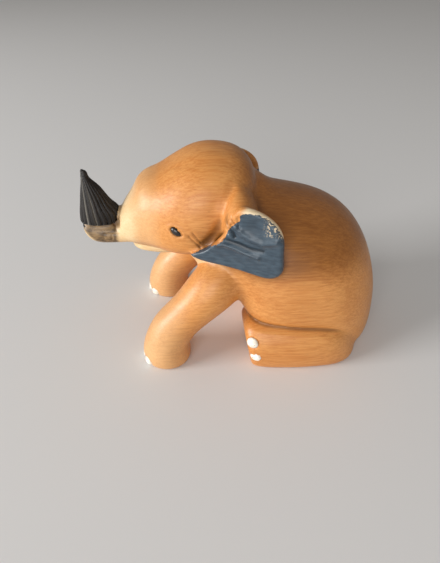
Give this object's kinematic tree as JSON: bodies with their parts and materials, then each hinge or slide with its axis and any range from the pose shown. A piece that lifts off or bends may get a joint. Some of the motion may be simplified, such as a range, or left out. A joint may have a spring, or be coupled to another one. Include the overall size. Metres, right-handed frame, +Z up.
{
  "type": "carved wooden elephant figurine",
  "caption": "Seated elephant calf carved in wood, with propped forelegs, painted ears and a raised dark trunk tip. A shelf or table ornament that rests on its flat seat and soles.",
  "frame": {"origin": "bottom centre of the bounding box, on the plane that the seat and the soles rest on", "axes": "-X is where the elephant looks, along its length; -Y is its left side; +Z is up"},
  "size_m": [0.1562, 0.0932, 0.1024],
  "materials": {
    "stained_wood": "warm orange-brown stain under satin wax, darker in the hollows",
    "pale_wood": "unstained pale wood under satin wax",
    "dark_wood": "grooved black-brown wood, satin",
    "ear_paint": "wood under worn slate-blue semi-gloss paint",
    "eye_gloss": "gloss black bead",
    "nail_paint": "off-white enamel on raised nails",
    "dowel_wood": "plain birch dowel"
  },
  "bodies": {
    "root": {"torso": "stained_wood", "head": "stained_wood", "lower_jaw": "pale_wood", "trunk_tip": "dark_wood", "tail": "stained_wood", "front_leg_left": "stained_wood", "front_leg_right": "stained_wood", "hind_leg_left": "stained_wood", "hind_leg_right": "stained_wood", "ear_left": "ear_paint", "ear_right": "ear_paint", "eye_left": "eye_gloss", "eye_right": "eye_gloss", "toenails_front_left": "nail_paint", "toenails_front_right": "nail_paint", "toenails_hind_left": "nail_paint", "toenails_hind_right": "nail_paint", "neck_dowel": "dowel_wood", "front_leg_dowels": "dowel_wood", "hind_leg_dowels": "dowel_wood", "ear_pins": "dowel_wood", "trunk_tip_pin": "dowel_wood", "jaw_pin": "dowel_wood"}
  },
  "joints": []
}
